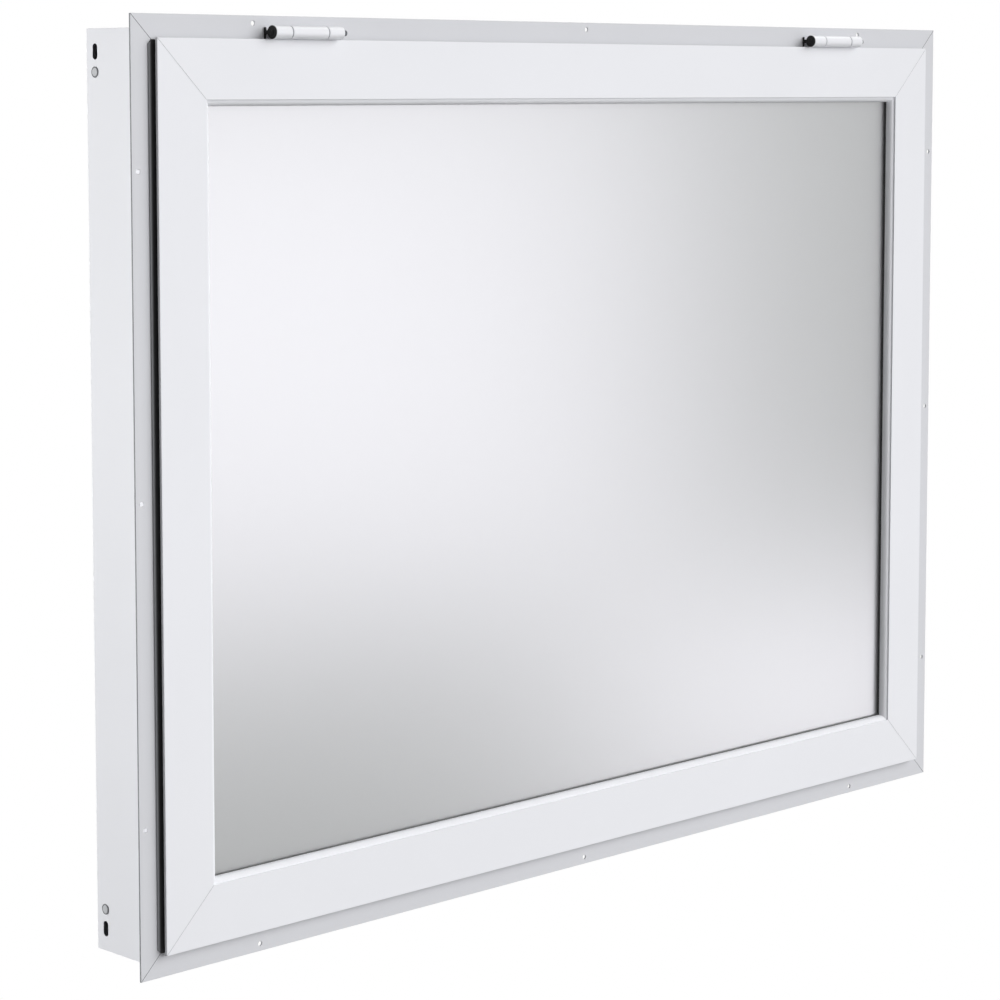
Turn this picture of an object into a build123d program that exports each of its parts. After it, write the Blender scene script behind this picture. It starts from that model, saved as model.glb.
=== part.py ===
"""Concession window: a flanged aluminium frame with a glazed awning door hung from its head.

X runs along the wall, Y into the building and Z up. The origin is on the back of the sill's flange,
where it meets the underside of the frame, so the flange lies on the wall at Y = 0.
"""

import os

from build123d import *

os.makedirs("parts", exist_ok=True)

# Frame: a hollow box section that goes into the wall, with a flange that laps the wall around it
frame_width = 1219.2
frame_height = 914.4
frame_depth = 85.6
frame_face = 25.0
frame_wall = 2.0
flange_lap = 13.4
flange_thickness = 2.0

# Screw holes through the flange, three on each side
flange_hole_radius = 2.5
flange_hole_edge = 7.5
flange_hole_from_end = 137.1

# Slots in the outer faces of the jambs, one near each end
slot_length = 15.5
slot_width = 7.4
slot_from_end = 22.3
slot_from_back = 13.3

# Door: a lip that laps the flange, a hollow body inside the frame and a rounded nose around the glass
lip_inset_head = 9.5
lip_inset_jamb = 12.2
door_depth = 38.0
door_wall = 1.8
door_clearance = 6.0
lip_thickness = 3.2
lip_gap = 5.0
face_width = 59.6
nose_step = 2.0
nose_radius = 6.0
glazing_pocket = 14.6

# Glazing: glass between an outer and an inner gasket, held by beads from inside
glass_thickness = 5.0
glass_edge_gap = 3.0
gasket_thickness = 2.0
gasket_width = 9.0
gasket_inset = 0.4
inner_gasket_thickness = 3.0
inner_gasket_inset = 2.5
bead_wall = 1.5
bead_slope_width = 4.6
bead_slope_depth = 8.0

# Weather seal: D strips on the front of the flange behind the door's lip, with a flat tail at the jambs
# that shows beside the lip
seal_inset = 2.5
seal_width = 6.0
seal_clearance = 0.3
seal_tail_show = 5.2
seal_tail_thickness = 1.5
seal_tail_from_end = 1.6
seal_tail_chamfer = 4.0

# Hinges: a plate on the flange with two knuckles, and a leaf behind the lip with one
hinge_from_end = 195.7
hinge_shift = 1.0
hinge_length = 89.0
cap_knuckle_length = 20.8
pin_knuckle_length = 19.8
knuckle_gap = 1.2
barrel_radius = 6.7
barrel_lift = 6.7
barrel_reach = 12.0
neck_thickness = 4.0
hinge_plate_thickness = 2.0
hinge_plate_rise = 5.0
hinge_plate_drop = 20.0
hinge_leaf_thickness = 2.0
hinge_leaf_drop = 15.0
pin_radius = 3.0
pin_clearance = 0.05
pin_end = 6.2
cap_thickness = 1.5
seal_cut_back = 1.5

# Latches: a turn lever on the inner face of the bottom rail, and a keeper on the sill below it
latch_from_end = 310.0
latch_plate_length = 60.0
latch_plate_height = 22.0
latch_plate_thickness = 3.0
latch_boss_radius = 8.0
latch_boss_height = 8.0
latch_lever_length = 62.0
latch_lever_width = 12.0
latch_lever_thickness = 5.0
latch_chamfer = 1.5
keeper_length = 40.0
keeper_foot = 18.0
keeper_rise = 8.0
keeper_thickness = 2.5
keeper_setback = 12.0

# Places worked out from the sizes above
middle_z = frame_height / 2
door_width = frame_width - 2 * lip_inset_jamb
door_height = frame_height - 2 * lip_inset_head
flange_front_y = -flange_thickness
lip_back_y = flange_front_y - lip_gap
door_front_y = lip_back_y - lip_thickness
door_back_y = door_front_y + door_depth
door_top_z = middle_z + door_height / 2
door_bottom_z = middle_z - door_height / 2
lip_reach = frame_face + door_clearance - min(lip_inset_head, lip_inset_jamb)
nose_edge = face_width + nose_radius
pocket_edge = nose_edge - glazing_pocket
rebate_depth = nose_step + nose_radius + door_wall
glass_front = rebate_depth + gasket_thickness
glass_back = glass_front + glass_thickness
bead_front = glass_back + inner_gasket_thickness
glass_edge = pocket_edge + glass_edge_gap
axis_y = flange_front_y - barrel_reach
axis_z = door_top_z + barrel_lift
hinge_plate_front_y = flange_front_y - hinge_plate_thickness
hinge_leaf_back_y = lip_back_y + hinge_leaf_thickness
hinge_spread = frame_width / 2 - hinge_from_end
hinge_places = {"left": hinge_shift - hinge_spread, "right": hinge_shift + hinge_spread}
latch_spread = frame_width / 2 - latch_from_end
latch_places = {"left": -latch_spread, "right": latch_spread}

# For each side of a rectangle: the way to its middle from the centre, the way inwards, and the way along it
side_ways = {
    "top": ((0, 1), (0, 0, -1), (1, 0, 0)),
    "bottom": ((0, -1), (0, 0, 1), (-1, 0, 0)),
    "left": ((-1, 0), (1, 0, 0), (0, 0, 1)),
    "right": ((1, 0), (-1, 0, 0), (0, 0, -1)),
}
frame_names = {
    "top": "frame_head",
    "bottom": "frame_sill",
    "left": "frame_jamb_left",
    "right": "frame_jamb_right",
}
door_names = {
    "top": "door_rail_top",
    "bottom": "door_rail_bottom",
    "left": "door_stile_left",
    "right": "door_stile_right",
}


def side_plane(side, width, height, depth_y):
    """Section plane at the middle of one side of a rectangle, with x inwards and y into the building."""
    place, inwards, along = side_ways[side]
    middle = (place[0] * width / 2, depth_y, middle_z + place[1] * height / 2)
    return Plane(origin=middle, x_dir=inwards, z_dir=along)


def side_length(side, width, height):
    """Length of one side of a rectangle."""
    return width if side in ("top", "bottom") else height


def cut_mitres(section, length):
    """Cut both ends of the member being built at 45 degrees."""
    for end in (-1, 1):
        corner = section.from_local_coords(Vector(0, 0, end * length / 2))
        outwards = section.from_local_coords(Vector(1, 0, end)) - section.origin
        split(bisect_by=Plane(origin=corner, z_dir=outwards), keep=Keep.BOTTOM)


def finish(piece, name):
    """Name a finished piece and write it."""
    piece.label = name
    export_step(piece, f"parts/{name}.step")


# Frame members: the box and its flange in one hollow section, mitred at the corners
for side, name in frame_names.items():
    section = side_plane(side, frame_width, frame_height, 0)
    length = side_length(side, frame_width, frame_height)
    with BuildPart() as member:
        with BuildSketch(section):
            with BuildLine():
                Polyline(
                    (-flange_lap, -flange_thickness),
                    (frame_face, -flange_thickness),
                    (frame_face, frame_depth),
                    (0, frame_depth),
                    (0, 0),
                    (-flange_lap, 0),
                    close=True,
                )
            make_face()
            with Locations((frame_wall, 0)):
                Rectangle(
                    frame_face - 2 * frame_wall,
                    frame_depth - frame_wall,
                    align=Align.MIN,
                    mode=Mode.SUBTRACT,
                )
        extrude(amount=length / 2 + flange_lap, both=True)
        cut_mitres(section, length)
        hole_pitch = length / 2 - flange_hole_from_end
        hole_row = [(flange_hole_edge - flange_lap, n * hole_pitch) for n in (-1, 0, 1)]
        with BuildSketch(Plane(origin=section.origin, x_dir=section.x_dir, z_dir=(0, -1, 0))):
            with Locations(*hole_row):
                Circle(flange_hole_radius)
        extrude(amount=2 * flange_thickness, mode=Mode.SUBTRACT)
        if side in ("left", "right"):
            slot_pitch = length / 2 - slot_from_end
            slot_row = [(frame_depth - slot_from_back, n * slot_pitch) for n in (-1, 1)]
            with BuildSketch(Plane(origin=section.origin, x_dir=(0, 1, 0), z_dir=-section.x_dir)):
                with Locations(*slot_row):
                    SlotOverall(slot_length, slot_width, rotation=90)
            extrude(amount=-2 * frame_wall, mode=Mode.SUBTRACT)
    finish(member.part, name)

# Weather seal strips: the top one is cut away around the hinges, and those at the jambs have a tail
for side in side_ways:
    section = side_plane(side, door_width, door_height, flange_front_y)
    length = side_length(side, door_width, door_height)
    seal_top = lip_gap - seal_clearance
    seal_side = seal_top - seal_width / 2
    with BuildPart() as seal:
        with BuildSketch(section):
            with BuildLine():
                near, far = seal_inset, seal_inset + seal_width
                Polyline((near, -seal_side), (near, 0), (far, 0), (far, -seal_side))
                ThreePointArc((far, -seal_side), ((near + far) / 2, -seal_top), (near, -seal_side))
            make_face()
        extrude(amount=length / 2, both=True)
        cut_mitres(section, length)
        if side == "top":
            with Locations(*[(x, flange_front_y, door_top_z) for x in hinge_places.values()]):
                Box(
                    hinge_length + 2 * (cap_thickness + seal_cut_back),
                    2 * lip_gap,
                    2 * (seal_inset + seal_width + seal_cut_back),
                    mode=Mode.SUBTRACT,
                )
        if side in ("left", "right"):
            tail_end = length / 2 - seal_tail_from_end
            tail_edge = -seal_tail_show
            with BuildSketch(Plane(origin=section.origin, x_dir=section.x_dir, z_dir=(0, -1, 0))):
                with BuildLine():
                    Polyline(
                        (seal_inset, -tail_end),
                        (seal_inset, tail_end),
                        (tail_edge + seal_tail_chamfer, tail_end),
                        (tail_edge, tail_end - seal_tail_chamfer),
                        (tail_edge, seal_tail_chamfer - tail_end),
                        (tail_edge + seal_tail_chamfer, -tail_end),
                        close=True,
                    )
                make_face()
            extrude(amount=seal_tail_thickness)
    finish(seal.part, f"seal_{side}")

# Door rails and stiles: lip, hollow body and rounded nose in one section, mitred at the corners
for side, name in door_names.items():
    section = side_plane(side, door_width, door_height, door_front_y)
    length = side_length(side, door_width, door_height)
    nose_centre = (face_width, nose_step + nose_radius)
    cell_radius = nose_radius - door_wall
    with BuildPart() as member:
        with BuildSketch(section):
            with BuildLine():
                Polyline(
                    (nose_edge, nose_step + nose_radius),
                    (nose_edge, rebate_depth),
                    (pocket_edge, rebate_depth),
                    (pocket_edge, door_depth),
                    (lip_reach, door_depth),
                    (lip_reach, lip_thickness),
                    (0, lip_thickness),
                    (0, 0),
                    (face_width, 0),
                    (face_width, nose_step),
                )
                CenterArc(nose_centre, nose_radius, -90, 90)
            make_face()
            with Locations((lip_reach + door_wall, lip_thickness)):
                Rectangle(
                    pocket_edge - lip_reach - 2 * door_wall,
                    door_depth - lip_thickness - door_wall,
                    align=Align.MIN,
                    mode=Mode.SUBTRACT,
                )
            with BuildLine():
                Polyline(
                    (face_width + cell_radius, nose_step + nose_radius),
                    (pocket_edge, nose_step + nose_radius),
                    (pocket_edge, nose_step + door_wall),
                    (face_width, nose_step + door_wall),
                )
                CenterArc(nose_centre, cell_radius, -90, 90)
            make_face(mode=Mode.SUBTRACT)
        extrude(amount=length / 2, both=True)
        cut_mitres(section, length)
    finish(member.part, name)

# Glass, set in the pocket of the rails and stiles
with BuildPart() as glass:
    with Locations((0, door_front_y + glass_front, middle_z)):
        Box(
            door_width - 2 * glass_edge,
            glass_thickness,
            door_height - 2 * glass_edge,
            align=(Align.CENTER, Align.MIN, Align.CENTER),
        )
finish(glass.part, "door_glass")

# Gasket strips on both faces of the glass
gaskets = {
    "gasket_outer": (rebate_depth, gasket_thickness, gasket_inset),
    "gasket_inner": (glass_back, inner_gasket_thickness, inner_gasket_inset),
}
for name, (depth, thickness, inset) in gaskets.items():
    for side in side_ways:
        section = side_plane(side, door_width, door_height, door_front_y)
        length = side_length(side, door_width, door_height)
        with BuildPart() as gasket:
            with BuildSketch(section):
                with Locations((nose_edge - inset, depth)):
                    Rectangle(gasket_width, thickness, align=(Align.MAX, Align.MIN))
            extrude(amount=length / 2, both=True)
            cut_mitres(section, length)
        finish(gasket.part, f"{name}_{side}")

# Glazing beads: hollow strips with a sloped face that press the inner gasket from inside
for side in side_ways:
    section = side_plane(side, door_width, door_height, door_front_y)
    length = side_length(side, door_width, door_height)
    with BuildPart() as bead:
        with BuildSketch(section):
            with BuildLine():
                Polyline(
                    (pocket_edge, bead_front),
                    (nose_edge, bead_front),
                    (nose_edge, door_depth - bead_slope_depth),
                    (nose_edge - bead_slope_width, door_depth),
                    (pocket_edge, door_depth),
                    close=True,
                )
            make_face()
            offset(amount=-bead_wall, kind=Kind.INTERSECTION, mode=Mode.SUBTRACT)
        extrude(amount=length / 2, both=True)
        cut_mitres(section, length)
    finish(bead.part, f"glazing_bead_{side}")

# Hinges, each built along X from its left end
for hand, hinge_x in hinge_places.items():
    start_x = hinge_x - hinge_length / 2
    axis = (axis_y, axis_z)
    leaf_x = start_x + cap_knuckle_length + knuckle_gap
    pin_knuckle_x = start_x + hinge_length - pin_knuckle_length
    middle_knuckle_length = pin_knuckle_x - knuckle_gap - leaf_x
    plate_size = (hinge_plate_thickness, hinge_plate_rise + hinge_plate_drop)
    plate_place = (hinge_plate_front_y, axis_z - hinge_plate_drop)
    neck_size = (hinge_plate_front_y - axis_y, neck_thickness)

    # Plate screwed to the flange, with a knuckle at each end
    with BuildPart() as plate:
        with BuildSketch(Plane.YZ.offset(start_x)):
            with Locations(plate_place):
                Rectangle(*plate_size, align=Align.MIN)
        extrude(amount=hinge_length)
        for knuckle_x, knuckle_length in ((start_x, cap_knuckle_length), (pin_knuckle_x, pin_knuckle_length)):
            with BuildSketch(Plane.YZ.offset(knuckle_x)):
                with Locations(axis):
                    Circle(barrel_radius)
                    Rectangle(*neck_size, align=(Align.MIN, Align.CENTER))
            extrude(amount=knuckle_length)
        with BuildSketch(Plane.YZ.offset(start_x)):
            with Locations(axis):
                Circle(pin_radius + pin_clearance)
        extrude(amount=hinge_length, mode=Mode.SUBTRACT)
    finish(plate.part, f"hinge_{hand}_plate")

    # Leaf behind the door's lip, with the middle knuckle
    with BuildPart() as leaf:
        with BuildSketch(Plane.YZ.offset(leaf_x)):
            with Locations(axis):
                Circle(barrel_radius)
                Rectangle(hinge_leaf_back_y - axis_y, neck_thickness, align=(Align.MIN, Align.CENTER))
            with Locations((lip_back_y, axis_z + neck_thickness / 2)):
                Rectangle(
                    hinge_leaf_thickness,
                    barrel_lift + hinge_leaf_drop + neck_thickness / 2,
                    align=(Align.MIN, Align.MAX),
                )
            with Locations(axis):
                Circle(pin_radius + pin_clearance, mode=Mode.SUBTRACT)
        extrude(amount=middle_knuckle_length)
    finish(leaf.part, f"hinge_{hand}_leaf")

    # Pin through the three knuckles, standing out at the right end
    with BuildPart() as pin:
        with BuildSketch(Plane.YZ.offset(start_x)):
            with Locations(axis):
                Circle(pin_radius)
        extrude(amount=hinge_length + pin_end)
    finish(pin.part, f"hinge_{hand}_pin")

    # Moulded cap over the left end of the plate, neck and barrel
    with BuildPart() as cap:
        with BuildSketch(Plane.YZ.offset(start_x)):
            with Locations(plate_place):
                Rectangle(*plate_size, align=Align.MIN)
            with Locations(axis):
                Circle(barrel_radius)
                Rectangle(*neck_size, align=(Align.MIN, Align.CENTER))
        extrude(amount=-cap_thickness)
    finish(cap.part, f"hinge_{hand}_cap")

# Latches on the bottom rail, turned to their open position, and their keepers on the sill
rail_middle_z = door_bottom_z + (lip_reach + pocket_edge) / 2
for hand, latch_x in latch_places.items():
    inwards = 1 if hand == "left" else -1
    rail_face = Plane(origin=(latch_x, door_back_y, rail_middle_z), x_dir=(inwards, 0, 0), z_dir=(0, 1, 0))
    with BuildPart() as latch:
        with BuildSketch(rail_face):
            RectangleRounded(latch_plate_length, latch_plate_height, latch_plate_height / 4)
        extrude(amount=latch_plate_thickness)
        with BuildSketch(rail_face.offset(latch_plate_thickness)):
            Circle(latch_boss_radius)
        extrude(amount=latch_boss_height)
        with BuildSketch(rail_face.offset(latch_plate_thickness + latch_boss_height)):
            with Locations((latch_lever_length / 2 - latch_boss_radius, 0)):
                SlotOverall(latch_lever_length, latch_lever_width)
            Circle(latch_boss_radius)
        extrude(amount=latch_lever_thickness)
        chamfer(latch.edges().group_by(Axis.Y)[-1], latch_chamfer)
    finish(latch.part, f"latch_{hand}")

    with BuildPart() as keeper:
        with BuildSketch(Plane.YZ.offset(latch_x)):
            with Locations((door_back_y + keeper_setback, frame_face)):
                Rectangle(keeper_foot, keeper_thickness, align=Align.MIN)
                Rectangle(keeper_thickness, keeper_rise, align=Align.MIN)
        extrude(amount=keeper_length / 2, both=True)
    finish(keeper.part, f"latch_keeper_{hand}")
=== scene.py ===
"""Concession window: a flanged aluminium frame with a glazed awning door, dressed around its CAD model."""
import math

import bmesh
import bpy
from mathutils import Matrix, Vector


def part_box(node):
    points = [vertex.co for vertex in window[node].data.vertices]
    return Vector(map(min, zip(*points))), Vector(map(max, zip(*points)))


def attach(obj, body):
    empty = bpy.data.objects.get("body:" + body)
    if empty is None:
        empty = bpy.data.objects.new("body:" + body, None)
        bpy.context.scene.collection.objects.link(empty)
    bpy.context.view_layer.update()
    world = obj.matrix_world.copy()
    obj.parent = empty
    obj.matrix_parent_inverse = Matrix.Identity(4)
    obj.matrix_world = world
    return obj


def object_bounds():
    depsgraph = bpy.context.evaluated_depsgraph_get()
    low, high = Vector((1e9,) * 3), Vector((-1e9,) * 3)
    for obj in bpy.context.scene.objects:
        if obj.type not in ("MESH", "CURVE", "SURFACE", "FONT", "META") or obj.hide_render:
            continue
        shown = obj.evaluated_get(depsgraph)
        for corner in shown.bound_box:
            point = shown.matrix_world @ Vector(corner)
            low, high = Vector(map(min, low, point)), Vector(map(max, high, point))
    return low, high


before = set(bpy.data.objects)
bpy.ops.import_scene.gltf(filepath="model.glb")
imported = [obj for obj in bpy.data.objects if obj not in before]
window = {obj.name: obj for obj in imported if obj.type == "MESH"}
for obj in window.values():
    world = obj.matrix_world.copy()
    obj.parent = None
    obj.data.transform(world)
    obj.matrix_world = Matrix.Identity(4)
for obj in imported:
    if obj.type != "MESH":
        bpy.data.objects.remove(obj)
cad_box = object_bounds()
MM = 0.001


# Frame: four aluminium extrusions, each a hollow box with a flange, sawn at 45 degrees and joined
# at the corners. The whole frame is powder coated white, with a painted grey shade on the flange's outer
# edges.
def linear(hex_colour):
    """Linear RGBA of an sRGB hex colour."""
    parts = [int(hex_colour[i:i + 2], 16) / 255 for i in (1, 3, 5)]
    return [c / 12.92 if c <= 0.04045 else ((c + 0.055) / 1.055) ** 2.4 for c in parts] + [1.0]


def add_node(tree, kind, links=(), **settings):
    """One node with its settings; links are (input, (node, output)) pairs."""
    node = tree.nodes.new(kind)
    for name, value in settings.items():
        if hasattr(node, name):
            setattr(node, name, value)
        else:
            node.inputs[name.replace("_", " ")].default_value = value
    for socket, (source, output) in links:
        tree.links.new(node.inputs[socket], source.outputs[output])
    return node


def new_material(name):
    """An empty material with its tree and its principled shader, joined to the output."""
    material = bpy.data.materials.new(name)
    material.use_nodes = True
    tree = material.node_tree
    tree.nodes.clear()
    shader = add_node(tree, "ShaderNodeBsdfPrincipled")
    add_node(tree, "ShaderNodeOutputMaterial", [("Surface", (shader, "BSDF"))])
    return material, tree, shader


def per_metre(millimetres):
    """Noise scale that gives cells of about that size."""
    return 1 / (millimetres * MM)


# Polyester powder coat, sprayed and baked: satin white, faintly cool, with an orange peel. The real peel
# is about 1 mm across and too fine to show, so it is drawn at 3 mm. The frame's copy of the coat is made
# a little greyer than the door's: painted shade for the frame's flange beside the door's lip.
def powder_coat(name, thin, full, smooth=0.46, rough=0.56):
    """Powder coat between two tones, where it lies thin and where it lies full, and two roughnesses."""
    material, tree, shader = new_material(name)
    shader.inputs["IOR"].default_value = 1.5
    place = add_node(tree, "ShaderNodeTexCoord")
    spot = [("Vector", (place, "Object"))]
    cloud = add_node(tree, "ShaderNodeTexNoise", spot, Scale=per_metre(180), Detail=2.0)
    tint = add_node(tree, "ShaderNodeMix", [("Factor", (cloud, "Fac"))], data_type="RGBA")
    tint.inputs["A"].default_value = linear(thin)
    tint.inputs["B"].default_value = linear(full)
    peel = add_node(tree, "ShaderNodeTexNoise", spot, Scale=per_metre(3), Detail=1.0)
    sheen = add_node(tree, "ShaderNodeMapRange", [("Value", (peel, "Fac"))], To_Min=smooth, To_Max=rough)
    bumps = add_node(tree, "ShaderNodeBump", [("Height", (peel, "Fac"))], Strength=0.12, Distance=0.05 * MM)
    tree.links.new(shader.inputs["Base Color"], tint.outputs["Result"])
    tree.links.new(shader.inputs["Roughness"], sheen.outputs["Result"])
    tree.links.new(shader.inputs["Normal"], bumps.outputs["Normal"])
    return material


# The frame's greyer copy of the door's coat is painted shade.
frame_coat_shaded = powder_coat("frame_powder_coat_shaded", "#D0D1D5", "#D5D6DA")


def dress(names, material, edge=0.0, merge_flats=True):
    """Give CAD pieces their finish, and ease their sharp edges by so many millimetres.

    Flats are merged first, so that no sliver next to a hole is eased, but not where mitred ends are hollow.
    """
    for name in names:
        piece = window[name]
        piece.data.materials.clear()
        piece.data.materials.append(material)
        if edge:
            piece.modifiers.new("joined_corners", "WELD").merge_threshold = 0.002 * MM
            if merge_flats:
                flats = piece.modifiers.new("whole_flats", "DECIMATE")
                flats.decimate_type = "DISSOLVE"
                flats.angle_limit = math.radians(0.5)
            eased = piece.modifiers.new("eased_edges", "BEVEL")
            eased.width = edge * MM
            eased.segments = 2
            eased.limit_method = "ANGLE"
            eased.angle_limit = math.radians(40)
            eased.use_clamp_overlap = False
            piece.modifiers.new("even_shading", "WEIGHTED_NORMAL").keep_sharp = True


frame_members = ["frame_head", "frame_sill", "frame_jamb_left", "frame_jamb_right"]
dress(frame_members, frame_coat_shaded, edge=0.3)

# Painted shade: a dull grey on the flange's outer edges and on the sides of the jambs' slots. It gives the
# thin dark outline around the flange and darkens the slots.
edge_shade_paint, tree, shader = new_material("painted_edge_shade")
shader.inputs["IOR"].default_value = 1.5
place = add_node(tree, "ShaderNodeTexCoord")
shade_mottle = add_node(tree, "ShaderNodeTexNoise", [("Vector", (place, "Object"))], Scale=per_metre(25), Detail=3.0)
tint = add_node(tree, "ShaderNodeMix", [("Factor", (shade_mottle, "Fac"))], data_type="RGBA")
tint.inputs["A"].default_value = linear("#606266")
tint.inputs["B"].default_value = linear("#76787C")
dull = add_node(tree, "ShaderNodeMapRange", [("Value", (shade_mottle, "Fac"))], To_Min=0.55, To_Max=0.7)
tree.links.new(shader.inputs["Base Color"], tint.outputs["Result"])
tree.links.new(shader.inputs["Roughness"], dull.outputs["Result"])
middle = (cad_box[0] + cad_box[1]) / 2
flange_half_width = 623.0 * MM
flange_half_height = 470.6 * MM
frame_back = 85.6 * MM
slot_from_back = 13.3 * MM
slot_y = frame_back - slot_from_back
slot_half_width = 3.7 * MM
slot_inner_x = 607.5 * MM
jambs = ("frame_jamb_left", "frame_jamb_right")
slack = 0.1 * MM
# Faces on the flange's outer edges and on the slots' sides take the painted grey shade.
for name in frame_members:
    mesh = window[name].data
    mesh.materials.append(edge_shade_paint)
    for face in mesh.polygons:
        across = abs(face.center.x) > flange_half_width - slack
        above = abs(face.center.z - middle.z) > flange_half_height - slack
        cut_edge = abs(face.normal.x) < 0.5 and abs(face.center.x) > slot_inner_x
        in_slot = name in jambs and cut_edge and abs(face.center.y - slot_y) < slot_half_width + slack
        if across or above or in_slot:
            face.material_index = 1

# Corner sealant: a hairline of grey sealant in each mitre of the frame, pressed in from the front and wiped
# flush, from the flange's outer corner to its inner one.
box_half_width = 609.6 * MM
box_half_height = 457.2 * MM
flange_lap = 13.4 * MM
frame_face = 25.0 * MM
flange_front = -2.0 * MM
corner_cut_back = 0.4 * MM
sealant_sunk = 0.01 * MM
sealant_depth = 0.3 * MM


def seal_mitres(name, half_width, half_height, reaches, front, hairline, body):
    """A wedge of sealant along each of four mitres, between two distances out from a rectangle's corners."""
    sealant = bmesh.new()
    for across in (-1, 1):
        for up in (-1, 1):
            side = Vector((across, 0, -up)).normalized() * hairline
            ends = []
            for reach in reaches:
                x = across * (half_width + reach)
                z = middle.z + up * (half_height + reach)
                crest = Vector((x, front + sealant_sunk, z))
                root = Vector((x, front + sealant_depth, z))
                ends.append([sealant.verts.new(point) for point in (crest - side, crest + side, root)])
            near, far = ends
            for a, b in ((0, 1), (1, 2), (2, 0)):
                sealant.faces.new((near[a], near[b], far[b], far[a]))
            sealant.faces.new(near)
            sealant.faces.new(far)
    bmesh.ops.recalc_face_normals(sealant, faces=sealant.faces)
    mesh = bpy.data.meshes.new(name)
    sealant.to_mesh(mesh)
    sealant.free()
    piece = bpy.data.objects.new(name, mesh)
    bpy.context.scene.collection.objects.link(piece)
    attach(piece, body)
    return mesh


frame_reaches = (flange_lap - corner_cut_back, -frame_face)
frame_hairline = 0.28 * MM
frame_sealant = seal_mitres(
    "frame_corner_sealant",
    box_half_width,
    box_half_height,
    frame_reaches,
    flange_front,
    frame_hairline,
    "frame",
)

# Silicone sealant, smoothed wet: a soft dark grey line.
silicone, tree, shader = new_material("grey_silicone_sealant")
shader.inputs["IOR"].default_value = 1.41
place = add_node(tree, "ShaderNodeTexCoord")
smear = add_node(tree, "ShaderNodeTexNoise", [("Vector", (place, "Object"))], Scale=per_metre(6), Detail=2.0)
tint = add_node(tree, "ShaderNodeMix", [("Factor", (smear, "Fac"))], data_type="RGBA")
tint.inputs["A"].default_value = linear("#46484B")
tint.inputs["B"].default_value = linear("#606266")
dull = add_node(tree, "ShaderNodeMapRange", [("Value", (smear, "Fac"))], To_Min=0.4, To_Max=0.55)
tree.links.new(shader.inputs["Base Color"], tint.outputs["Result"])
tree.links.new(shader.inputs["Roughness"], dull.outputs["Result"])
frame_sealant.materials.append(silicone)


# Hole plugs: round flat plugs pressed into the jambs' outer faces next to the slots, with a fine groove around
# each, its shade painted in dark grey. They are turned from aluminium and painted grey.
def turn(name, profile, places, facing, finishes, body, recess=0.0):
    """Round heads at several places, turned from rings of (radius, height, finish) in millimetres.

    The last ring is the middle. A recess sinks a cross of that depth into the rings after the third.
    """
    steps = 32
    heads = bmesh.new()
    up = Vector(facing)
    right = up.orthogonal().normalized()
    back = up.cross(right)
    for spot in places:
        rings = []
        for ring, (radius, height, _) in enumerate(profile[:-1]):
            verts = []
            for i in range(steps):
                arm = min(i % 8, 8 - i % 8) <= (1 if ring == 3 else 2)
                sunk = recess if recess and ring > 2 and arm else 0.0
                turned = right * math.cos(math.tau * i / steps) + back * math.sin(math.tau * i / steps)
                verts.append(heads.verts.new(Vector(spot) + (turned * radius + up * (height - sunk)) * MM))
            rings.append(verts)
        middle_point = heads.verts.new(Vector(spot) + up * (profile[-1][1] - recess) * MM)
        for (inner, outer), (_, _, finish) in zip(zip(rings[1:], rings), profile[1:]):
            for i in range(steps):
                j = (i + 1) % steps
                heads.faces.new((outer[i], outer[j], inner[j], inner[i])).material_index = finish
        for i in range(steps):
            point = heads.faces.new((rings[-1][i], rings[-1][(i + 1) % steps], middle_point))
            point.material_index = profile[-1][2]
    bmesh.ops.recalc_face_normals(heads, faces=heads.faces)
    mesh = bpy.data.meshes.new(name)
    heads.to_mesh(mesh)
    heads.free()
    for finish in finishes:
        mesh.materials.append(finish)
    piece = bpy.data.objects.new(name, mesh)
    bpy.context.scene.collection.objects.link(piece)
    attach(piece, body)


# The outer rim and the groove's outer slope, finish 1, take the dark silicone grey: painted shade in the
# groove.
plug_profile = [(5.4, 0.0, 1), (5.4, 0.5, 1), (5.0, 0.6, 1), (4.2, 0.4, 1), (3.9, 0.75, 0), (0.0, 0.9, 0)]
plug_from_end = 42.2 * MM
plug_grey, tree, shader = new_material("grey_painted_plug")
shader.inputs["IOR"].default_value = 1.5
place = add_node(tree, "ShaderNodeTexCoord")
spray = add_node(tree, "ShaderNodeTexNoise", [("Vector", (place, "Object"))], Scale=per_metre(2), Detail=2.0)
tint = add_node(tree, "ShaderNodeMix", [("Factor", (spray, "Fac"))], data_type="RGBA")
tint.inputs["A"].default_value = linear("#A0A2A5")
tint.inputs["B"].default_value = linear("#ACAEB1")
satin = add_node(tree, "ShaderNodeMapRange", [("Value", (spray, "Fac"))], To_Min=0.4, To_Max=0.55)
tree.links.new(shader.inputs["Base Color"], tint.outputs["Result"])
tree.links.new(shader.inputs["Roughness"], satin.outputs["Result"])
plug_heights = (plug_from_end, 2 * middle.z - plug_from_end)
for hand, across in (("left", -1), ("right", 1)):
    spots = [(across * box_half_width, slot_y, z) for z in plug_heights]
    outward = (across, 0, 0)
    turn(f"jamb_plugs_{hand}", plug_profile, spots, outward, [plug_grey, silicone], "frame")

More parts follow.
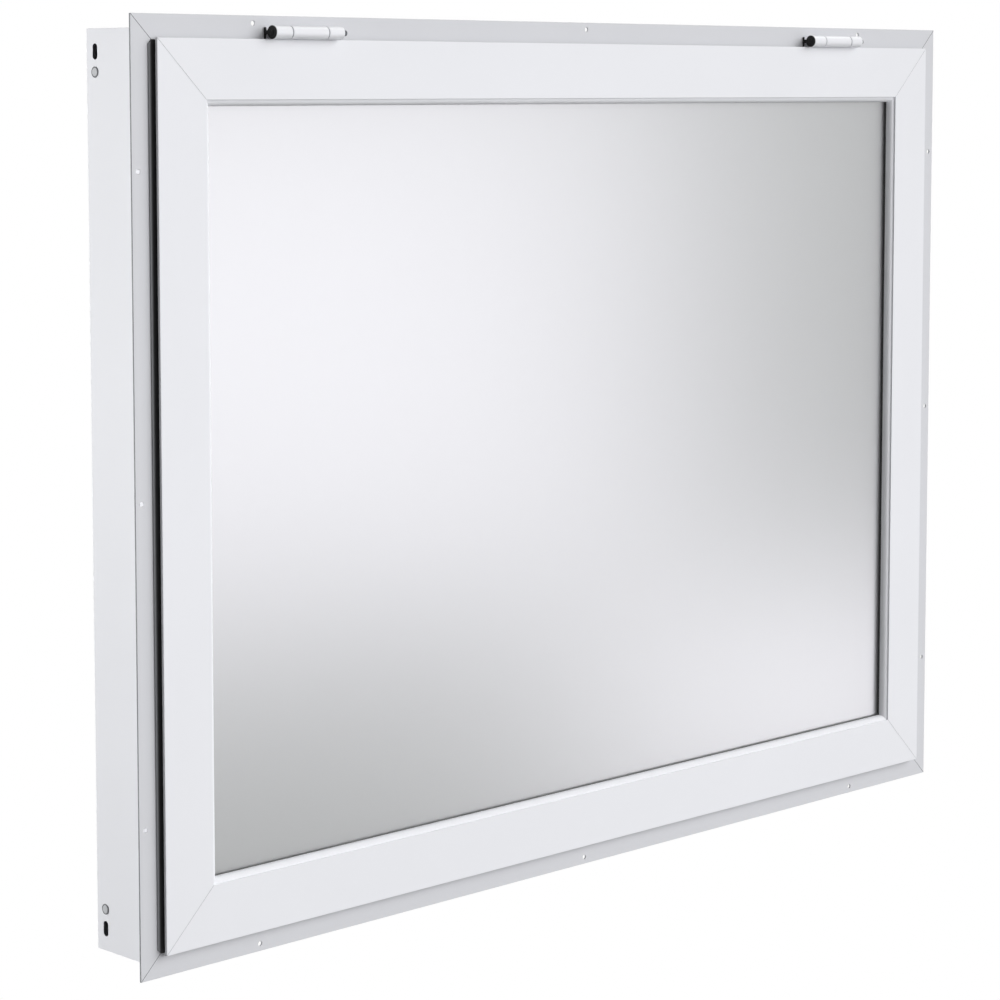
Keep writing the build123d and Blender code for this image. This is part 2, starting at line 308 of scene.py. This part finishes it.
# Weather seal: black rubber strips of D section, stuck to the front of the flange behind the door's lip.
# Those at the jambs have a flat tail that shows as a black line beside the lip.
# Extruded EPDM rubber, matt, with a faint grey bloom. The tails' thin outer edge is painted grey, fading to
# black towards the lip: a painted soft shadow.
tail_edge = 602.6 * MM
shadow_fade_width = 3.6 * MM
seal_rubber, tree, shader = new_material("black_epdm_rubber")
shader.inputs["IOR"].default_value = 1.5
place = add_node(tree, "ShaderNodeTexCoord")
bloom = add_node(tree, "ShaderNodeTexNoise", [("Vector", (place, "Object"))], Scale=per_metre(12), Detail=3.0)
tint = add_node(tree, "ShaderNodeMix", [("Factor", (bloom, "Fac"))], data_type="RGBA")
tint.inputs["A"].default_value = linear("#111112")
tint.inputs["B"].default_value = linear("#1D1D1F")
place_parts = add_node(tree, "ShaderNodeSeparateXYZ", [("Vector", (place, "Object"))])
outward = add_node(tree, "ShaderNodeMath", [(0, (place_parts, "X"))], operation="ABSOLUTE")
painted_shadow_fade = add_node(tree, "ShaderNodeMapRange", [("Value", (outward, "Value"))])
painted_shadow_fade.interpolation_type = "SMOOTHSTEP"
painted_shadow_fade.inputs["From Min"].default_value = tail_edge - shadow_fade_width
painted_shadow_fade.inputs["From Max"].default_value = tail_edge
painted_shadow_tint = add_node(
    tree,
    "ShaderNodeMix",
    [("Factor", (painted_shadow_fade, "Result")), ("A", (tint, "Result"))],
    data_type="RGBA",
)
# The pale end of the painted soft shadow on the tails' outer edge.
painted_shadow_tint.inputs["B"].default_value = linear("#88898C")
dull = add_node(tree, "ShaderNodeMapRange", [("Value", (bloom, "Fac"))], To_Min=0.5, To_Max=0.68)
tree.links.new(shader.inputs["Base Color"], painted_shadow_tint.outputs["Result"])
tree.links.new(shader.inputs["Roughness"], dull.outputs["Result"])
sides = ("top", "bottom", "left", "right")
dress([f"seal_{side}" for side in sides], seal_rubber)

# Door: two rails and two stiles, each one hollow extrusion with a lip, a body and a rounded nose around
# the glass, sawn at 45 degrees and joined at the corners, then powder coated like the frame.
door_coat = powder_coat("door_powder_coat", "#E9EAEE", "#EDEEF2")
door_members = ["door_rail_top", "door_rail_bottom", "door_stile_left", "door_stile_right"]
dress(door_members, door_coat, edge=0.4, merge_flats=False)

# Door corner sealant: the same hairline in the door's mitres, finer and in a pale grey that is nearly the
# coat's own, from the lip's corner to the nose.
door_half_width = 597.4 * MM
door_half_height = 447.7 * MM
door_face = 59.6 * MM
door_front = -10.2 * MM
door_reaches = (-corner_cut_back, -door_face)
door_hairline = 0.14 * MM
door_sealant = seal_mitres(
    "door_corner_sealant",
    door_half_width,
    door_half_height,
    door_reaches,
    door_front,
    door_hairline,
    "awning_door",
)
pale_silicone, tree, shader = new_material("pale_silicone_sealant")
shader.inputs["IOR"].default_value = 1.41
place = add_node(tree, "ShaderNodeTexCoord")
smear = add_node(tree, "ShaderNodeTexNoise", [("Vector", (place, "Object"))], Scale=per_metre(6), Detail=2.0)
tint = add_node(tree, "ShaderNodeMix", [("Factor", (smear, "Fac"))], data_type="RGBA")
tint.inputs["A"].default_value = linear("#9A9CA0")
tint.inputs["B"].default_value = linear("#ACAEB2")
dull = add_node(tree, "ShaderNodeMapRange", [("Value", (smear, "Fac"))], To_Min=0.4, To_Max=0.55)
tree.links.new(shader.inputs["Base Color"], tint.outputs["Result"])
tree.links.new(shader.inputs["Roughness"], dull.outputs["Result"])
door_sealant.materials.append(pale_silicone)

# Glass: one pane of 5 mm toughened float glass with a thin metal oxide film on its outer face, etched to a
# satin finish, so it passes light and blurs whatever is behind it.
# The film gives a broad soft sheen of the lights, and the body a faint grey green cast.
satin_glass, tree, shader = new_material("satin_float_glass")
shader.inputs["IOR"].default_value = 1.52
shader.inputs["Transmission Weight"].default_value = 1.0
shader.inputs["Base Color"].default_value = linear("#6B706F")
shader.inputs["Coat Weight"].default_value = 1.0
shader.inputs["Coat IOR"].default_value = 3.0
shader.inputs["Coat Roughness"].default_value = 0.28
place = add_node(tree, "ShaderNodeTexCoord")
etch = add_node(tree, "ShaderNodeTexNoise", [("Vector", (place, "Object"))], Scale=per_metre(4), Detail=2.0)
blur = add_node(tree, "ShaderNodeMapRange", [("Value", (etch, "Fac"))], To_Min=0.46, To_Max=0.52)
tree.links.new(shader.inputs["Roughness"], blur.outputs["Result"])
dress(["door_glass"], satin_glass)

# Gaskets: black rubber strips on both faces of the glass, held between the rebate and the glazing bead.
# Softer rubber than the seal, with a smoother skin.
gasket_rubber, tree, shader = new_material("black_glazing_rubber")
shader.inputs["IOR"].default_value = 1.5
place = add_node(tree, "ShaderNodeTexCoord")
skin = add_node(tree, "ShaderNodeTexNoise", [("Vector", (place, "Object"))], Scale=per_metre(9), Detail=3.0)
tint = add_node(tree, "ShaderNodeMix", [("Factor", (skin, "Fac"))], data_type="RGBA")
tint.inputs["A"].default_value = linear("#141516")
tint.inputs["B"].default_value = linear("#1F2021")
dull = add_node(tree, "ShaderNodeMapRange", [("Value", (skin, "Fac"))], To_Min=0.42, To_Max=0.56)
tree.links.new(shader.inputs["Base Color"], tint.outputs["Result"])
tree.links.new(shader.inputs["Roughness"], dull.outputs["Result"])
dress([f"gasket_{face}_{side}" for face in ("outer", "inner") for side in sides], gasket_rubber)

# Glazing beads: hollow aluminium strips snapped in from inside to press the inner gasket on the glass.
# They are powder coated with the door.
dress([f"glazing_bead_{side}" for side in sides], door_coat, edge=0.3)

# Hinges: extruded aluminium plates and leaves, with three knuckles to each barrel, in a glossier powder coat.
# An oiled steel pin runs through them, and a moulded black cap closes the left end.
hands = ("left", "right")
hinge_coat = powder_coat("hinge_powder_coat", "#E9EAEE", "#EDEEF2", smooth=0.28, rough=0.36)
dress([f"hinge_{hand}_{half}" for hand in hands for half in ("plate", "leaf")], hinge_coat, edge=0.4)

# Oiled steel, drawn and sawn off: dark grey metal with a dull shine.
oiled_steel, tree, shader = new_material("oiled_drawn_steel")
shader.inputs["Metallic"].default_value = 1.0
place = add_node(tree, "ShaderNodeTexCoord")
film = add_node(tree, "ShaderNodeTexNoise", [("Vector", (place, "Object"))], Scale=per_metre(2), Detail=3.0)
tint = add_node(tree, "ShaderNodeMix", [("Factor", (film, "Fac"))], data_type="RGBA")
tint.inputs["A"].default_value = linear("#4E5053")
tint.inputs["B"].default_value = linear("#66686C")
dull = add_node(tree, "ShaderNodeMapRange", [("Value", (film, "Fac"))], To_Min=0.35, To_Max=0.5)
tree.links.new(shader.inputs["Base Color"], tint.outputs["Result"])
tree.links.new(shader.inputs["Roughness"], dull.outputs["Result"])
dress([f"hinge_{hand}_pin" for hand in hands], oiled_steel, edge=0.4)

# Zinc plate on turned steel, for the screws below: bright grey metal with fine rings from turning.
zinc_plate, tree, shader = new_material("zinc_plated_steel")
shader.inputs["Metallic"].default_value = 1.0
place = add_node(tree, "ShaderNodeTexCoord")
spot = [("Vector", (place, "Object"))]
mottle = add_node(tree, "ShaderNodeTexNoise", spot, Scale=per_metre(1.5), Detail=3.0)
tint = add_node(tree, "ShaderNodeMix", [("Factor", (mottle, "Fac"))], data_type="RGBA")
tint.inputs["A"].default_value = linear("#A9ABAD")
tint.inputs["B"].default_value = linear("#C6C8CA")
turned = add_node(tree, "ShaderNodeMapRange", [("Value", (mottle, "Fac"))], To_Min=0.25, To_Max=0.42)
tree.links.new(shader.inputs["Base Color"], tint.outputs["Result"])
tree.links.new(shader.inputs["Roughness"], turned.outputs["Result"])

# Moulded black nylon, with the fine grain of the mould, drawn at 1 mm so that it shows.
black_nylon, tree, shader = new_material("moulded_black_nylon")
shader.inputs["IOR"].default_value = 1.36
place = add_node(tree, "ShaderNodeTexCoord")
grain = add_node(tree, "ShaderNodeTexNoise", [("Vector", (place, "Object"))], Scale=per_metre(1), Detail=2.0)
tint = add_node(tree, "ShaderNodeMix", [("Factor", (grain, "Fac"))], data_type="RGBA")
tint.inputs["A"].default_value = linear("#070708")
tint.inputs["B"].default_value = linear("#0D0D0E")
gloss = add_node(tree, "ShaderNodeMapRange", [("Value", (grain, "Fac"))], To_Min=0.4, To_Max=0.52)
tree.links.new(shader.inputs["Base Color"], tint.outputs["Result"])
tree.links.new(shader.inputs["Roughness"], gloss.outputs["Result"])
dress([f"hinge_{hand}_cap" for hand in hands], black_nylon, edge=0.3)

# Hinge screws: raised countersunk screws with a cross recess, zinc plated. Two hold each plate to the flange
# below its end knuckles, and two hold each leaf to the back of the lip. A moulded boss marks each cap's pin.
screw_profile = [(3.4, 0.0, 0), (3.3, 0.4, 0), (2.4, 0.9, 0), (2.0, 1.0, 0), (1.0, 1.05, 0), (0.0, 1.1, 0)]
leaf_screw_profile = [
    (3.4, 0.0, 0), (3.3, 0.25, 0), (2.4, 0.45, 0), (2.0, 0.5, 0), (1.0, 0.5, 0), (0.0, 0.5, 0),
]
boss_profile = [(3.0, 0.0, 0), (3.0, 0.4, 0), (2.7, 0.6, 0), (2.1, 0.6, 0), (1.8, 0.3, 0), (0.0, 0.3, 0)]
plate_screw_up = 6.4 * MM
leaf_screw_up = 6.0 * MM
screw_pitch = 26.0 * MM
screw_recess = 0.7
leaf_screw_recess = 0.35
plate_thickness = 2.0 * MM
barrel_radius = 6.7 * MM
for hand in hands:
    low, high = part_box(f"hinge_{hand}_plate")
    leaf_low, leaf_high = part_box(f"hinge_{hand}_leaf")
    plate_y = high.y - plate_thickness
    end_knuckles = ((low.x + leaf_low.x) / 2, (high.x + leaf_high.x) / 2)
    plate_spots = [(x, plate_y, low.z + plate_screw_up) for x in end_knuckles]
    turn(
        f"hinge_{hand}_plate_screws",
        screw_profile,
        plate_spots,
        (0, -1, 0),
        [zinc_plate],
        "frame",
        screw_recess,
    )
    leaf_x = (leaf_low.x + leaf_high.x) / 2
    leaf_spots = [(leaf_x + n * screw_pitch / 2, leaf_high.y, leaf_low.z + leaf_screw_up) for n in (-1, 1)]
    turn(
        f"hinge_{hand}_leaf_screws",
        leaf_screw_profile,
        leaf_spots,
        (0, 1, 0),
        [zinc_plate],
        "awning_door",
        leaf_screw_recess,
    )
    cap_low, cap_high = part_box(f"hinge_{hand}_cap")
    boss_spot = (cap_low.x, cap_low.y + barrel_radius, cap_high.z - barrel_radius)
    leftward = (-1, 0, 0)
    turn(f"hinge_{hand}_cap_boss", boss_profile, [boss_spot], leftward, [black_nylon], "frame")

# Latches and keepers: die-cast turn levers on the bottom rail and pressed keepers on the sill, inside,
# all with a silver grey paint.
# Silver grey paint on cast metal, with a soft sheen.
silver_paint, tree, shader = new_material("silver_grey_paint")
shader.inputs["IOR"].default_value = 1.5
shader.inputs["Metallic"].default_value = 0.35
place = add_node(tree, "ShaderNodeTexCoord")
flake = add_node(tree, "ShaderNodeTexNoise", [("Vector", (place, "Object"))], Scale=per_metre(1), Detail=2.0)
tint = add_node(tree, "ShaderNodeMix", [("Factor", (flake, "Fac"))], data_type="RGBA")
tint.inputs["A"].default_value = linear("#A5A7AA")
tint.inputs["B"].default_value = linear("#BBBDC0")
satin = add_node(tree, "ShaderNodeMapRange", [("Value", (flake, "Fac"))], To_Min=0.32, To_Max=0.45)
tree.links.new(shader.inputs["Base Color"], tint.outputs["Result"])
tree.links.new(shader.inputs["Roughness"], satin.outputs["Result"])
dress([f"{part}_{hand}" for part in ("latch", "latch_keeper") for hand in hands], silver_paint, edge=0.3)

# Latch and keeper screws: the same zinc plated screws, two in each latch plate and two in each keeper's foot.
latch_plate_thickness = 3.0 * MM
latch_screw_pitch = 44.0 * MM
keeper_screw_pitch = 26.0 * MM
keeper_foot_thickness = 2.5 * MM
keeper_screw_from_back = 6.5 * MM
for hand in hands:
    low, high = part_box(f"latch_keeper_{hand}")
    latch_low, latch_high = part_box(f"latch_{hand}")
    keeper_x = (low.x + high.x) / 2
    latch_y = latch_low.y + latch_plate_thickness
    latch_z = (latch_low.z + latch_high.z) / 2
    latch_spots = [(keeper_x + n * latch_screw_pitch / 2, latch_y, latch_z) for n in (-1, 1)]
    turn(
        f"latch_{hand}_screws",
        screw_profile,
        latch_spots,
        (0, 1, 0),
        [zinc_plate],
        "awning_door",
        screw_recess,
    )
    keeper_y = high.y - keeper_screw_from_back
    keeper_z = low.z + keeper_foot_thickness
    keeper_spots = [(keeper_x + n * keeper_screw_pitch / 2, keeper_y, keeper_z) for n in (-1, 1)]
    turn(
        f"keeper_{hand}_screws",
        screw_profile,
        keeper_spots,
        (0, 0, 1),
        [zinc_plate],
        "frame",
        screw_recess,
    )

# Floor: a plain white studio floor, 950 mm below the window, as under a window at counter height.
# It is white towards the camera and fades into the white background.
floor_mesh = bpy.data.meshes.new("floor")
reach = 6.0
floor_z = -0.95
fade_start = 0.8
fade_end = 2.3
floor_mesh.from_pydata(
    [(-reach, -reach, floor_z), (reach, -reach, floor_z), (reach, reach, floor_z), (-reach, reach, floor_z)],
    [],
    [(0, 1, 2, 3)],
)
floor = bpy.data.objects.new("floor", floor_mesh)
bpy.context.scene.collection.objects.link(floor)
floor_white, tree, shader = new_material("floor_white")
shader.inputs["Base Color"].default_value = linear("#F4F4F4")
shader.inputs["Roughness"].default_value = 0.9
place = add_node(tree, "ShaderNodeTexCoord")
away = add_node(tree, "ShaderNodeVectorMath", [(0, (place, "Object"))], operation="MULTIPLY")
away.inputs[1].default_value = (1, 1, 0)
distance = add_node(tree, "ShaderNodeVectorMath", [(0, (away, "Vector"))], operation="LENGTH")
fade = add_node(tree, "ShaderNodeMapRange", [("Value", (distance, "Value"))], interpolation_type="SMOOTHSTEP")
fade.inputs["From Min"].default_value = fade_start
fade.inputs["From Max"].default_value = fade_end
white = add_node(tree, "ShaderNodeEmission", Strength=1.0)
blended = add_node(
    tree,
    "ShaderNodeMixShader",
    [("Fac", (fade, "Result")), (1, (shader, "BSDF")), (2, (white, "Emission"))],
)
bounce = add_node(tree, "ShaderNodeBsdfDiffuse", Color=linear("#A0A0A0"))
seen = add_node(tree, "ShaderNodeLightPath")
seen_or_glossy = add_node(
    tree,
    "ShaderNodeMath",
    [(0, (seen, "Is Camera Ray")), (1, (seen, "Is Glossy Ray"))],
    operation="MAXIMUM",
)
seen_any = add_node(
    tree,
    "ShaderNodeMath",
    [(0, (seen_or_glossy, "Value")), (1, (seen, "Is Transmission Ray"))],
    operation="MAXIMUM",
)
shown = add_node(
    tree,
    "ShaderNodeMixShader",
    [("Fac", (seen_any, "Value")), (1, (bounce, "BSDF")), (2, (blended, "Shader"))],
)
tree.links.new(tree.nodes["Material Output"].inputs["Surface"], shown.outputs["Shader"])
floor_mesh.materials.append(floor_white)

# Studio light: a pale world that shows as white. Its fill is dimmer from the left and from above, and
# brighter from behind. A broad scrim on the right is the key, with a panel in front, which gives no sheen, and
# one behind the left jamb. Three panels give only sheen: two in the glass and one along the hinges' barrels.
world = bpy.data.worlds.new("studio")
bpy.context.scene.world = world
world.use_nodes = True
tree = world.node_tree
tree.nodes.clear()
seen = add_node(tree, "ShaderNodeLightPath")
seen_or_glossy = add_node(
    tree,
    "ShaderNodeMath",
    [(0, (seen, "Is Camera Ray")), (1, (seen, "Is Glossy Ray"))],
    operation="MAXIMUM",
)
seen_any = add_node(
    tree,
    "ShaderNodeMath",
    [(0, (seen_or_glossy, "Value")), (1, (seen, "Is Transmission Ray"))],
    operation="MAXIMUM",
)
way = add_node(tree, "ShaderNodeTexCoord")
way_parts = add_node(tree, "ShaderNodeSeparateXYZ", [("Vector", (way, "Generated"))])
across_fill = add_node(tree, "ShaderNodeMapRange", [("Value", (way_parts, "X"))], From_Min=-1.0)
across_fill.inputs["To Min"].default_value = 0.02
across_fill.inputs["To Max"].default_value = 0.54
back_fill = add_node(tree, "ShaderNodeMapRange", [("Value", (way_parts, "Y"))], To_Max=0.75)
top_share = add_node(tree, "ShaderNodeMapRange", [("Value", (way_parts, "Z"))], To_Min=1.0, To_Max=0.6)
fill_sum = add_node(
    tree,
    "ShaderNodeMath",
    [(0, (across_fill, "Result")), (1, (back_fill, "Result"))],
    operation="ADD",
)
fill = add_node(
    tree,
    "ShaderNodeMath",
    [(0, (fill_sum, "Value")), (1, (top_share, "Result"))],
    operation="MULTIPLY",
)
fill_level = add_node(
    tree,
    "ShaderNodeMapRange",
    [("Value", (seen_any, "Value")), ("To Min", (fill, "Value"))],
    To_Max=1.0,
)
sky = add_node(tree, "ShaderNodeBackground", [("Strength", (fill_level, "Result"))])
sky.inputs["Color"].default_value = (1, 1, 1, 1)
add_node(tree, "ShaderNodeOutputWorld", [("Surface", (sky, "Background"))])

sun = bpy.data.lights.new("key_scrim", "SUN")
sun.energy = 2.22
sun.angle = math.radians(45)
scrim = bpy.data.objects.new("key_scrim", sun)
scrim.rotation_euler = Vector((-0.62, 0.66, -0.42)).to_track_quat("-Z", "Y").to_euler()
scrim.visible_glossy = False
bpy.context.scene.collection.objects.link(scrim)

for name, spot, aim, width, height, radiance, tone, gives in (
    ("front_panel", (0.0, -5.0, 1.2), (0.0, 0.0, 0.45), 2.5, 2.0, 3.2, "#FFFFFF", "light"),
    ("left_panel", (-2.6, 1.3, 0.6), (-0.6, 0.05, 0.40), 1.4, 1.4, 9.1, "#FFFFFF", "both"),
    ("upper_gloss_panel", (1.29, -2.2, 0.40), (1.29, 0.0, 0.40), 2.52, 1.28, 2.32, "#F9F6FF", "sheen"),
    ("lower_gloss_panel", (3.2, -2.2, -0.7), (3.2, 0.0, -0.7), 1.8, 0.7, 2.95, "#F9F6FF", "sheen"),
    ("hinge_gloss_panel", (2.6, -0.2, 3.4), (0.0, 0.0, 0.9), 1.3, 1.3, 5.0, "#FFFFFF", "sheen"),
):
    lamp = bpy.data.lights.new(name, "AREA")
    lamp.shape = "RECTANGLE"
    lamp.color = linear(tone)[:3]
    lamp.size = width
    lamp.size_y = height
    lamp.energy = radiance * width * height * math.pi
    panel = bpy.data.objects.new(name, lamp)
    panel.location = spot
    panel.rotation_euler = (Vector(aim) - Vector(spot)).to_track_quat("-Z", "Y").to_euler()
    panel.visible_camera = False
    panel.visible_glossy = gives != "light"
    panel.visible_diffuse = gives != "sheen"
    panel.visible_transmission = gives != "sheen"
    bpy.context.scene.collection.objects.link(panel)

# Camera: stands to the left of the window at about the height of its head, with a lens that is shifted
# down a little, as the photograph is framed.
lens = bpy.data.cameras.new("camera")
lens.sensor_width = 36
lens.lens = 104.142
lens.shift_y = -0.15
camera = bpy.data.objects.new("camera", lens)
camera.location = (-2.2997, -2.2178, 0.8587)
camera.rotation_euler = (math.radians(90 - 5.213), 0, math.radians(-44.359))
bpy.context.scene.collection.objects.link(camera)
bpy.context.scene.camera = camera
bpy.context.scene.view_settings.view_transform = "Standard"
